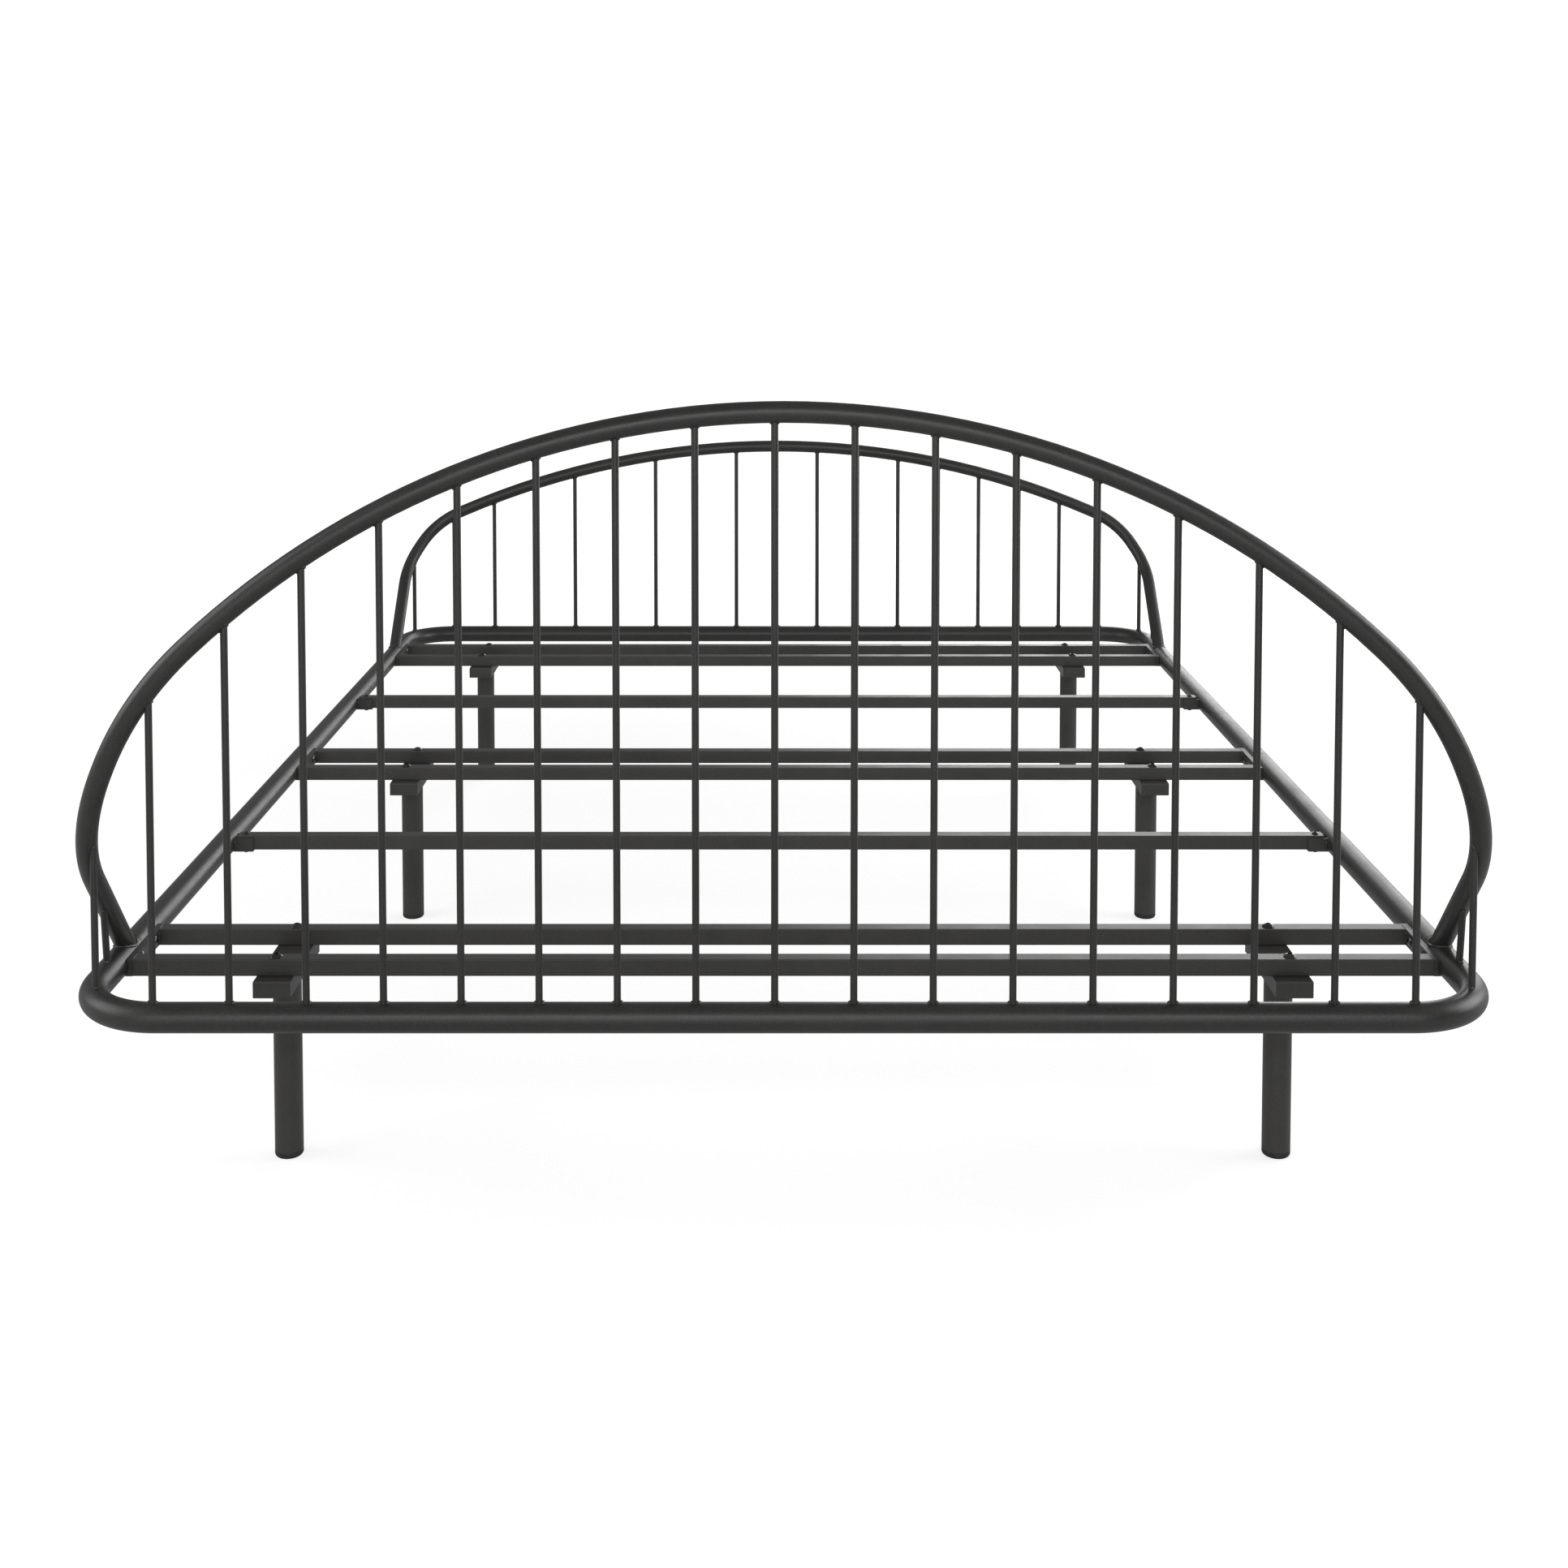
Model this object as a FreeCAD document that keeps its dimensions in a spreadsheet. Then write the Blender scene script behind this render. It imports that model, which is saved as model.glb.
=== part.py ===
import FreeCAD, Part
import os
from math import asin, cos, radians, sin, tan

import Sketcher
from FreeCAD import Placement, Rotation, Vector

# Steel tube bed frame for a queen mattress. Millimetres, +Z up, +Y from the head to the foot.
# The origin is on the floor under the middle of the bed.
# The head frame and the foot frame are each a U-shaped rail, a bent arch and upright spindles.
# Four straight side rails join them, at the pairs of slats that stand on the legs.

doc = FreeCAD.newDocument("bed_frame")

SIZES = {
    # overall
    "frame_length": 2060,        # head rail axis to foot rail axis
    "frame_width": 1570,         # side rail axis to side rail axis
    "rail_height": 253,          # floor to rail axis
    # rails
    "rail_diameter": 33,
    "rail_wall": 1.5,
    "corner_radius": 95,         # bend of the U, on the axis
    # arches: heights are from the rail axis to the tube axis
    "arch_diameter": 24,
    "arch_wall": 1.5,
    "landing_to_seam": 22,       # from where the arch lands to the end of the U
    "head_apex": 667,
    "head_sagitta": 256,         # rise of the crown arc above its ends
    "head_crown_inset": 136,     # side rail axis to the end of the crown arc
    "head_shoulder_run": 90,     # straight on from the crown arc to the shoulder corner
    "head_flank_height": 188,    # corner between shoulder and flank
    "head_flank_setback": 30,
    "head_shoulder_bend": 600,
    "head_flank_bend": 310,
    "foot_apex": 406,
    "foot_sagitta": 139,
    "foot_crown_inset": 113,
    "foot_shoulder_run": 65,
    "foot_flank_height": 157,
    "foot_flank_setback": 50,
    "foot_shoulder_bend": 150,
    "foot_flank_bend": 165,
    # spindles
    "spindle_diameter": 8,
    "outer_spindle_past_bend": 3,     # the outermost of the straight, beyond the end of the straight
    "head_spindle_drift": 10.3,       # the middle one stands this far left, the outer ones less
    "foot_spindle_drift": 0,
    "corner_spindle_angle": 58.5,     # round the corner bend, from the end rail
    "side_spindle_past_bend": 31,     # from the end of the corner bend to its lower end
    "side_spindle_lean": 12,          # its upper end leans this far to the end rail
    # slats
    "slat_size": 20,
    "slat_wall": 1.5,
    "slat_edge": 1.2,            # outer rounding
    "slat_drop": 1,              # slat axis below rail axis
    "slat_spacing": 100,         # axis to axis in a pair
    "pair_setback": 207,         # end rail axis to the middle of the first pair
    "plate_thickness": 5,        # at its thinnest, against the rail
    # holders of the single slats
    "holder_length": 25,
    "holder_wall": 2,
    "holder_lip_drop": 3,        # top of its walls below the slat's top
    "holder_play": 0.25,         # each side of the slat
    "slat_end_gap": 2.5,         # single slat to rail
    "bay_slat_lift": 3,          # single slats above the slats of the pairs
    # saddles, legs and caps
    "leg_inset": 188,            # side rail axis to leg axis
    "saddle_leg_gap": 3,         # each side of the leg, inside the saddle
    "saddle_depth": 20,
    "saddle_wall": 2,
    "saddle_edge": 2.5,          # outer rounding of the pressed sheet
    "saddle_overhang": 16,       # beyond the slats
    "leg_diameter": 34,
    "leg_wall": 1.5,
    "cap_height": 8,
    "cap_edge": 4,
    "cap_plug_height": 16,
    "cap_plug_play": 0.1,
    # joint sleeves
    "sleeve_length": 110,
    "sleeve_wall": 3,
    "sleeve_play": 0.1,
    # fasteners
    "hole_play": 0.3,            # round each shank, all round
    "saddle_bolt_diameter": 8,
    "saddle_bolt_head": 15,
    "saddle_bolt_head_height": 4.2,
    "saddle_bolt_socket": 5,
    "saddle_bolt_socket_depth": 2.8,
    "saddle_nut_flats": 13,
    "saddle_nut_height": 6.5,
    "joint_bolt_diameter": 6,
    "joint_bolt_head": 12,
    "joint_bolt_head_height": 3.5,
    "joint_bolt_socket": 4,
    "joint_bolt_socket_depth": 2,
    "joint_bolt_offset": 25,     # each side of the seam
    "holder_bolt_diameter": 5,
    "holder_bolt_head": 9.5,
    "holder_bolt_head_height": 3,
    "holder_bolt_socket": 3,
    "holder_bolt_socket_depth": 1.6,
    "holder_nut_flats": 8,
    "holder_nut_height": 3,
    "bolt_head_rim": 0.8,        # straight side of a domed head
    "bolt_tail": 1,              # thread that shows past a nut
}

SPINDLES_EACH_SIDE = 8           # on the straight of an end rail, beside the middle one
TOOL_REACH = 5                   # how far a cutting tool runs past what it cuts
NEAR = 0.1                       # how near a point must be to count as being there
BEND_SHARE = 0.97                # how much of a run its bend may use up

sheet = doc.addObject("Spreadsheet::Sheet", "sizes")
for row, (alias, value) in enumerate(SIZES.items(), start=1):
    sheet.set(f"A{row}", alias)
    sheet.set(f"B{row}", str(value))
    sheet.setAlias(f"B{row}", alias)
doc.recompute()

nodes = {}


def size(alias):
    """The value of one cell of the sheet."""
    return float(sheet.get(alias))


def bind(thing, **expressions):
    """Ties properties to cells. A double underscore in a name stands for a dot."""
    for name, expression in expressions.items():
        thing.setExpression(name.replace("__", "."), expression)


def bind_place(thing, x, y, z):
    bind(thing, Placement__Base__x=x, Placement__Base__y=y, Placement__Base__z=z)


def keep(node, thing):
    """Makes an object a sub-part: its label names its file."""
    thing.Label = node
    nodes[node] = thing
    return thing


# ---------------------------------------------------------------- small makers

def cylinder(name, radius, length, direction=Vector(0, 0, 1)):
    rod = doc.addObject("Part::Cylinder", name)
    rod.Placement = Placement(Vector(), Rotation(Vector(0, 0, 1), direction))
    bind(rod, Radius=radius, Height=length)
    return rod


def box(name, length, width, height):
    block = doc.addObject("Part::Box", name)
    bind(block, Length=length, Width=width, Height=height)
    return block


def cut(name, base, *tools):
    for number, tool in enumerate(tools):
        result = doc.addObject("Part::Cut", f"{name}_cut_{number}")
        result.Base, result.Tool = base, tool
        base = result
    return base


def gather(name, members):
    group = doc.addObject("Part::Compound", name)
    group.Links = members
    return group


def body_sketch(body, name, plane):
    """A sketch on one of the body's own origin planes."""
    sketch = body.newObject("Sketcher::SketchObject", name)
    origin_plane = next(p for p in body.Origin.OriginFeatures if p.Role == plane)
    sketch.AttachmentSupport = [(origin_plane, "")]
    sketch.MapMode = "FlatFace"
    return sketch


def outline(sketch, points):
    """A closed run of straight lines."""
    first = sketch.GeometryCount
    for start, end in zip(points, points[1:] + points[:1]):
        sketch.addGeometry(Part.LineSegment(Vector(*start, 0), Vector(*end, 0)))
    return first


def edges_where(shape, test):
    """Names of the edges whose middle passes a test."""
    return [f"Edge{n}" for n, edge in enumerate(shape.Edges, start=1) if test(edge.CenterOfMass)]


def copies(node, master, places):
    """One node with a separate solid at each place."""
    group = doc.addObject("Part::Feature", node)
    solids = []
    for place in places:
        solid = master.Shape.copy()
        solid.Placement = place
        solids.append(solid)
    group.Shape = Part.makeCompound(solids)
    return keep(node, group)


# ---------------------------------------------------------------- bent tubes

def bend(before, corner, after, radius):
    """Start, middle and end of the arc that rounds a corner, no larger than its two runs allow."""
    back = (before - corner).normalize()
    on = (after - corner).normalize()
    half = back.getAngle(on) / 2
    room = BEND_SHARE * min((before - corner).Length, (after - corner).Length)
    setback = min(radius / tan(half), room)
    start, end = corner + back * setback, corner + on * setback
    middle_way = (back + on).normalize()
    true_radius = setback * tan(half)
    centre = corner + middle_way * (true_radius / sin(half))
    middle = centre - middle_way * true_radius
    return start, middle, end


def path_feature(name, edges):
    path = doc.addObject("Part::Feature", name)
    path.Shape = Part.Wire(edges)
    return path


def sweep(name, path, diameter, start, direction):
    """A round bar of the given diameter (an expression) along a path."""
    ring = doc.addObject("Part::Circle", f"{name}_ring")
    ring.Placement = Placement(start, Rotation(Vector(0, 0, 1), direction))
    bind(ring, Radius=f"({diameter}) / 2")
    bar = doc.addObject("Part::Sweep", name)
    bar.Sections = [ring]
    bar.Spine = (path, [f"Edge{n + 1}" for n in range(len(path.Shape.Edges))])
    bar.Solid = True
    bar.Frenet = False
    return bar


def rail_path(name, end_y, inward):
    """U in plan: one side, the end, the other side. inward is +1 at the head."""
    half = size("frame_width") / 2
    radius = size("corner_radius")
    reach = size("pair_setback")
    axis = size("rail_height")
    tangent = half - radius
    quarter = radius * (1 - cos(radians(45)))

    def spot(x, setback):
        return Vector(x, end_y + inward * setback, axis)

    left_end = spot(-half, reach)
    left_bend = spot(-half, radius), spot(quarter - half, quarter), spot(-tangent, 0)
    right_bend = spot(tangent, 0), spot(half - quarter, quarter), spot(half, radius)
    edges = [
        Part.LineSegment(left_end, left_bend[0]).toShape(),
        Part.Arc(*left_bend).toShape(),
        Part.LineSegment(left_bend[-1], right_bend[0]).toShape(),
        Part.Arc(*right_bend).toShape(),
        Part.LineSegment(right_bend[-1], spot(half, reach)).toShape(),
    ]
    return path_feature(name, edges), left_end, Vector(0, -inward, 0)


def arch_path(name, which, end_y, inward):
    """Half the arch, from its foot to the crown, and its mirror image, as one path."""
    half = size("frame_width") / 2
    axis = size("rail_height")
    chord = half - size(f"{which}_crown_inset")
    sagitta = size(f"{which}_sagitta")
    crown_radius = (chord ** 2 + sagitta ** 2) / (2 * sagitta)
    crown_angle = asin(chord / crown_radius)
    run = size(f"{which}_shoulder_run")
    apex = axis + size(f"{which}_apex")
    down = Vector(cos(crown_angle), 0, -sin(crown_angle))

    crown_end = Vector(chord, end_y, apex - sagitta)
    shoulder = crown_end + down * run
    flank_y = end_y + inward * size(f"{which}_flank_setback")
    flank = Vector(half, flank_y, axis + size(f"{which}_flank_height"))
    landing_y = end_y + inward * (size("pair_setback") - size("landing_to_seam"))
    landing = Vector(half, landing_y, axis + size("rail_diameter") / 2)
    fall = landing - flank
    root = landing + fall * ((axis - landing.z) / fall.z)      # carried on to the rail's axis

    middle = (shoulder + flank) * 0.5
    first, first_mid, first_end = bend(crown_end, shoulder, middle, size(f"{which}_shoulder_bend"))
    second, second_mid, second_end = bend(middle, flank, root, size(f"{which}_flank_bend"))

    def mirrored(point):
        return Vector(-point.x, point.y, point.z)

    edges = [
        Part.LineSegment(mirrored(root), mirrored(second_end)).toShape(),
        Part.Arc(mirrored(second_end), mirrored(second_mid), mirrored(second)).toShape(),
        Part.LineSegment(mirrored(second), mirrored(first_end)).toShape(),
        Part.Arc(mirrored(first_end), mirrored(first_mid), mirrored(first)).toShape(),
        Part.LineSegment(mirrored(first), mirrored(crown_end)).toShape(),
        Part.Arc(mirrored(crown_end), Vector(0, end_y, apex), crown_end).toShape(),
        Part.LineSegment(crown_end, first).toShape(),
        Part.Arc(first, first_mid, first_end).toShape(),
        Part.LineSegment(first_end, second).toShape(),
        Part.Arc(second, second_mid, second_end).toShape(),
        Part.LineSegment(second_end, root).toShape(),
    ]
    start = mirrored(root)
    return path_feature(name, edges), start, mirrored(second_end) - start


def bent_tube(name, path, diameter, wall, start, direction):
    """Returns the solid bar, which later pieces are cut to, and the tube."""
    bar = sweep(f"{name}_bar", path, f"sizes.{diameter}", start, direction)
    bore = sweep(f"{name}_bore", path, f"sizes.{diameter} - 2 * sizes.{wall}", start, direction)
    return bar, cut(name, bar, bore)


# ---------------------------------------------------------------- end frames

SIDES = (("left", -1), ("right", 1))
HALF_LENGTH = "sizes.frame_length / 2"
HALF_WIDTH = "sizes.frame_width / 2"
RAIL_AXIS = "sizes.rail_height"
SLAT_AXIS = "sizes.rail_height - sizes.slat_drop"
SLAT_BOTTOM = f"({SLAT_AXIS} - sizes.slat_size / 2)"


def rod_between(name, low, high):
    rod = cylinder(name, "sizes.spindle_diameter / 2", str((high - low).Length), high - low)
    rod.Placement.Base = low
    return rod


def point_above(path, x, y):
    """The point of an arch's path that is nearest to a vertical line."""
    low = Vector(x, y, size("rail_height") + size("rail_diameter"))
    line = Part.LineSegment(low, low + Vector(0, 0, 2 * size("frame_length"))).toShape()
    return path.Shape.distToShape(line)[1][0][0]


def end_frame(which, inward):
    """Rail, arch and spindles of one end. inward is +1 at the head and -1 at the foot.

    Returns the arch as a solid bar, for what lies close to its two ends."""
    end_y = -inward * size("frame_length") / 2
    half = size("frame_width") / 2
    radius = size("corner_radius")
    axis = size("rail_height")

    rail_line, start, direction = rail_path(f"{which}_rail_line", end_y, inward)
    rail_bar, rail = bent_tube(f"{which}_rail_tube", rail_line, "rail_diameter", "rail_wall",
                               start, direction)
    rail = cut(f"{which}_rail_drilled", rail, drills_at[which, -1], drills_at[which, 1])
    keep(f"{which}_rail", rail)

    arch_line, start, direction = arch_path(f"{which}_arch_line", which, end_y, inward)
    arch_bar, arch = bent_tube(f"{which}_arch_tube", arch_line, "arch_diameter", "arch_wall",
                               start, direction)
    keep(f"{which}_arch", cut(f"{which}_arch_coped", arch, rail_bar, side_bars[-1], side_bars[1]))

    def trimmed(group, rods):
        bundle = gather(f"{which}_{group}_rods", rods)
        keep(f"{which}_{group}", cut(f"{which}_{group}_trimmed", bundle, arch_bar, rail_bar))

    def upright(name, x, y):
        return rod_between(name, Vector(x, y, axis), point_above(arch_line, x, y))

    pitch = (half - radius + size("outer_spindle_past_bend")) / SPINDLES_EACH_SIDE

    def spindle_x(number):
        """Even pitch, less a drift to the left that dies away at both ends."""
        share = 1 - (number / SPINDLES_EACH_SIDE) ** 2
        return number * pitch - share * size(f"{which}_spindle_drift")

    trimmed("spindle_middle", [upright(f"{which}_spindle_0", spindle_x(0), end_y)])
    for side, sign in SIDES:
        rods = [
            upright(f"{which}_spindle_{side}_{number}", spindle_x(sign * number), end_y)
            for number in range(1, SPINDLES_EACH_SIDE + 1)
        ]
        trimmed(f"spindles_{side}", rods)

    turn = radians(size("corner_spindle_angle"))
    corner_x = half - radius + radius * sin(turn)
    corner_y = end_y + inward * radius * (1 - cos(turn))
    corners = []
    for side, sign in SIDES:
        low = Vector(sign * corner_x, corner_y, axis)
        high = Vector(low.x, low.y, point_above(arch_line, low.x, low.y).z)
        corners.append(rod_between(f"{which}_corner_spindle_{side}", low, high))
    trimmed("corner_spindles", corners)

    side_y = end_y + inward * (radius + size("side_spindle_past_bend"))
    top_y = side_y - inward * size("side_spindle_lean")
    trimmed("side_spindles", [
        rod_between(f"{which}_side_spindle_{side}", Vector(sign * half, side_y, axis),
                    point_above(arch_line, sign * half, top_y))
        for side, sign in SIDES
    ])
    return arch_bar


# ---------------------------------------------------------------- slats

PLATE_FACE = "(sizes.frame_width / 2 - sizes.rail_diameter / 2 - sizes.plate_thickness)"


def slat(node, y, axis_z, length, hole_x, hole):
    """Square tube across the bed, drilled from top to bottom near both ends."""
    body = doc.addObject("PartDesign::Body", node)
    section = body_sketch(body, f"{node}_section", "YZ_Plane")
    corner = size("slat_size") / 2
    inner_corner = corner - size("slat_wall")
    for name, reach, side in (("outer", corner, "sizes.slat_size"),
                              ("inner", inner_corner, "sizes.slat_size - 2 * sizes.slat_wall")):
        first = outline(section, [(-reach, -reach), (reach, -reach), (reach, reach), (-reach, reach)])
        lines = range(first, first + 4)
        for line, following in zip(lines, list(lines)[1:] + [first]):
            section.addConstraint(Sketcher.Constraint("Coincident", line, 2, following, 1))
        for line, turn in zip(lines, ("Horizontal", "Vertical", "Horizontal", "Vertical")):
            section.addConstraint(Sketcher.Constraint(turn, line))
        section.addConstraint(Sketcher.Constraint("Symmetric", first, 1, first + 1, 2, -1, 1))
        for line, across in ((first, "width"), (first + 1, "height")):
            index = section.addConstraint(Sketcher.Constraint("Distance", line, 2 * reach))
            section.renameConstraint(index, f"{name}_{across}")
            section.setExpression(f"Constraints.{name}_{across}", side)
    tube = body.newObject("PartDesign::Pad", f"{node}_tube")
    tube.Profile = section
    tube.Midplane = True
    bind(tube, Length=length)
    doc.recompute()

    def on_corner(middle):
        return abs(middle.x) < NEAR and min(abs(middle.y), abs(middle.z)) > corner - NEAR

    rounded = body.newObject("PartDesign::Fillet", f"{node}_rounded")
    rounded.Base = (tube, edges_where(tube.Shape, on_corner))
    bind(rounded, Radius="sizes.slat_edge")
    body.Tip = rounded

    holes = body_sketch(body, f"{node}_holes", "XY_Plane")
    origin, start_x = (-1, 1), size("frame_width") / 3      # the expressions below move the holes
    for number, sign in enumerate((-1, 1)):
        holes.addGeometry(Part.Circle(Vector(sign * start_x, 0, 0), Vector(0, 0, 1), size(hole) / 2))
        centre = (number, 3)
        left_to_right = (*origin, *centre) if sign > 0 else (*centre, *origin)
        holes.addConstraint(Sketcher.Constraint("PointOnObject", *centre, -1))
        span = holes.addConstraint(Sketcher.Constraint("DistanceX", *left_to_right, start_x))
        bore = holes.addConstraint(Sketcher.Constraint("Diameter", number, size(hole)))
        holes.renameConstraint(span, f"reach_{number}")
        holes.renameConstraint(bore, f"bore_{number}")
        holes.setExpression(f"Constraints.reach_{number}", hole_x)
        holes.setExpression(f"Constraints.bore_{number}", f"sizes.{hole} + 2 * sizes.hole_play")
    drilled = body.newObject("PartDesign::Pocket", f"{node}_drilled")
    drilled.Profile = holes
    drilled.Type = "ThroughAll"
    drilled.Midplane = True
    body.Tip = drilled
    bind_place(body, "0", y, axis_z)
    return keep(node, body)


def end_plate(node, sign, y, drills, arch_bars):
    """Strip welded across the ends of a slat pair, hollowed to sit against the rail and any arch end."""
    strip = box(f"{node}_strip", "sizes.rail_diameter / 2 + sizes.plate_thickness",
                "sizes.slat_spacing + sizes.slat_size", "sizes.slat_size")
    corner_x = PLATE_FACE if sign > 0 else f"-{HALF_WIDTH}"
    bind_place(strip, corner_x, f"{y} - (sizes.slat_spacing + sizes.slat_size) / 2", SLAT_BOTTOM)
    return keep(node, cut(f"{node}_fitted", strip, side_bars[sign], drills, *arch_bars))


def side_bar(name, sign, diameter, start_y, end_y):
    bar = cylinder(name, f"({diameter}) / 2", f"({end_y}) - ({start_y})", Vector(0, 1, 0))
    bind_place(bar, f"{sign} * {HALF_WIDTH}", start_y, RAIL_AXIS)
    return bar


def joint_drills(name, sign, y, radius):
    """The two level holes of one rail joint, from inside the bed into the rail."""
    drills = []
    for number, way in enumerate((-1, 1)):
        drill = cylinder(f"{name}_drill_{number}", radius,
                         f"sizes.rail_diameter / 2 + sizes.plate_thickness + {TOOL_REACH}",
                         Vector(sign, 0, 0))
        bind_place(drill, f"{sign} * ({PLATE_FACE} - {TOOL_REACH})",
                   f"{y} + {way} * sizes.joint_bolt_offset", RAIL_AXIS)
        drills.append(drill)
    return gather(f"{name}_drills", drills)


# ---------------------------------------------------------------- holders

HOLDER_WIDTH = "(sizes.slat_size + 2 * sizes.holder_play + 2 * sizes.holder_wall)"
BAY_SLAT_BOTTOM = f"({SLAT_BOTTOM} + sizes.bay_slat_lift)"
HOLDER_BOLT_X = "(sizes.frame_width / 2 - sizes.rail_diameter / 2 - sizes.holder_length / 2)"


def holder(node, sign, y):
    """Open cradle on the rail that a single slat drops into."""
    reach = "(sizes.holder_length + sizes.rail_diameter / 2)"
    corner_x = f"{HALF_WIDTH} - {reach}" if sign > 0 else f"-{HALF_WIDTH}"
    block = box(f"{node}_block", reach, HOLDER_WIDTH,
                "sizes.slat_size + sizes.holder_wall - sizes.holder_lip_drop")
    bind_place(block, corner_x, f"{y} - {HOLDER_WIDTH} / 2", f"{BAY_SLAT_BOTTOM} - sizes.holder_wall")
    slot = box(f"{node}_slot", f"{reach} + 2 * {TOOL_REACH}", "sizes.slat_size + 2 * sizes.holder_play",
               "sizes.slat_size")
    bind_place(slot, f"{corner_x} - {TOOL_REACH}", f"{y} - sizes.slat_size / 2 - sizes.holder_play",
               BAY_SLAT_BOTTOM)
    drill = cylinder(f"{node}_drill", "sizes.holder_bolt_diameter / 2 + sizes.hole_play",
                     f"sizes.holder_wall + 2 * {TOOL_REACH}")
    bind_place(drill, f"{sign} * {HOLDER_BOLT_X}", y,
               f"{BAY_SLAT_BOTTOM} - sizes.holder_wall - {TOOL_REACH}")
    return keep(node, cut(f"{node}_formed", block, slot, side_bars[sign], drill))


# ---------------------------------------------------------------- saddles, legs, caps

LEG_X = "(sizes.frame_width / 2 - sizes.leg_inset)"
SADDLE_WIDTH = "(sizes.leg_diameter + 2 * sizes.saddle_leg_gap + 2 * sizes.saddle_wall)"
SADDLE_LENGTH = "(sizes.slat_spacing + sizes.slat_size + 2 * sizes.saddle_overhang)"
LEG_TOP = f"({SLAT_BOTTOM} - sizes.saddle_wall)"


def saddle(node, sign, y):
    """Pressed sheet box, open below, that ties a pair of slats to a leg."""
    body = doc.addObject("PartDesign::Body", node)
    block = body.newObject("PartDesign::AdditiveBox", f"{node}_block")
    bind(block, Length=SADDLE_WIDTH, Width=SADDLE_LENGTH, Height="sizes.saddle_depth")
    bind(block, Placement__Base__x=f"-{SADDLE_WIDTH} / 2", Placement__Base__y=f"-{SADDLE_LENGTH} / 2",
         Placement__Base__z="-sizes.saddle_depth")
    body.Tip = block
    doc.recompute()
    rim = -size("saddle_depth")
    rounded = body.newObject("PartDesign::Fillet", f"{node}_rounded")
    rounded.Base = (block, edges_where(block.Shape, lambda middle: middle.z > rim + NEAR))
    bind(rounded, Radius="sizes.saddle_edge")
    body.Tip = rounded
    hollow = body.newObject("PartDesign::SubtractiveBox", f"{node}_hollow")
    bind(hollow, Length=f"{SADDLE_WIDTH} - 2 * sizes.saddle_wall",
         Width=f"{SADDLE_LENGTH} - 2 * sizes.saddle_wall", Height="sizes.saddle_depth")
    bind(hollow, Placement__Base__x=f"sizes.saddle_wall - {SADDLE_WIDTH} / 2",
         Placement__Base__y=f"sizes.saddle_wall - {SADDLE_LENGTH} / 2",
         Placement__Base__z="-sizes.saddle_depth - sizes.saddle_wall")
    body.Tip = hollow
    for number, way in enumerate((-1, 1)):
        drill = body.newObject("PartDesign::SubtractiveCylinder", f"{node}_drill_{number}")
        bind(drill, Radius="sizes.saddle_bolt_diameter / 2 + sizes.hole_play",
             Height=f"sizes.saddle_wall + 2 * {TOOL_REACH}",
             Placement__Base__y=f"{way} * sizes.slat_spacing / 2",
             Placement__Base__z=f"-sizes.saddle_wall - {TOOL_REACH}")
        body.Tip = drill
    bind_place(body, f"{sign} * {LEG_X}", y, SLAT_BOTTOM)
    return keep(node, body)


def leg(node, sign, y):
    """Round tube, welded inside the saddle."""
    tube = cylinder(f"{node}_outside", "sizes.leg_diameter / 2", f"{LEG_TOP} - sizes.cap_height")
    bore = cylinder(f"{node}_inside", "sizes.leg_diameter / 2 - sizes.leg_wall",
                    f"{LEG_TOP} - sizes.cap_height + 2 * {TOOL_REACH}")
    bind_place(tube, f"{sign} * {LEG_X}", y, "sizes.cap_height")
    bind_place(bore, f"{sign} * {LEG_X}", y, f"sizes.cap_height - {TOOL_REACH}")
    return keep(node, cut(f"{node}_tube", tube, bore))


def leg_cap(node, sign, y):
    """Moulded cap, plugged into the lower end of a leg."""
    body = doc.addObject("PartDesign::Body", node)
    pad = body.newObject("PartDesign::AdditiveCylinder", f"{node}_pad")
    bind(pad, Radius="sizes.leg_diameter / 2", Height="sizes.cap_height")
    body.Tip = pad
    doc.recompute()
    rounded = body.newObject("PartDesign::Fillet", f"{node}_rounded")
    rounded.Base = (pad, edges_where(pad.Shape, lambda middle: middle.z < NEAR))
    bind(rounded, Radius="sizes.cap_edge")
    body.Tip = rounded
    plug = body.newObject("PartDesign::AdditiveCylinder", f"{node}_plug")
    bind(plug, Radius="sizes.leg_diameter / 2 - sizes.leg_wall - sizes.cap_plug_play",
         Height="sizes.cap_plug_height", Placement__Base__z="sizes.cap_height")
    body.Tip = plug
    bind_place(body, f"{sign} * {LEG_X}", y, "0")
    return keep(node, body)


# ---------------------------------------------------------------- side rails and sleeves

def side_rail(node, sign, start_y, end_y, drills):
    outside = side_bar(f"{node}_outside", sign, "sizes.rail_diameter", start_y, end_y)
    bore = side_bar(f"{node}_inside", sign, "sizes.rail_diameter - 2 * sizes.rail_wall",
                    f"{start_y} - {TOOL_REACH}", f"{end_y} + {TOOL_REACH}")
    return keep(node, cut(f"{node}_tube", outside, bore, *drills))


def joint_sleeve(name, sign, y):
    """Inner tube that keeps two rails in line, tapped for the joint bolts."""
    ends = (f"{y} - sizes.sleeve_length / 2", f"{y} + sizes.sleeve_length / 2")
    outer = "sizes.rail_diameter - 2 * sizes.rail_wall - 2 * sizes.sleeve_play"
    outside = side_bar(f"{name}_outside", sign, outer, *ends)
    inside = side_bar(f"{name}_inside", sign, f"{outer} - 2 * sizes.sleeve_wall",
                      f"{ends[0]} - {TOOL_REACH}", f"{ends[1]} + {TOOL_REACH}")
    taps = joint_drills(f"{name}_taps", sign, y, "sizes.joint_bolt_diameter / 2")
    return cut(f"{name}_tube", outside, inside, taps)


# ---------------------------------------------------------------- fasteners

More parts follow.
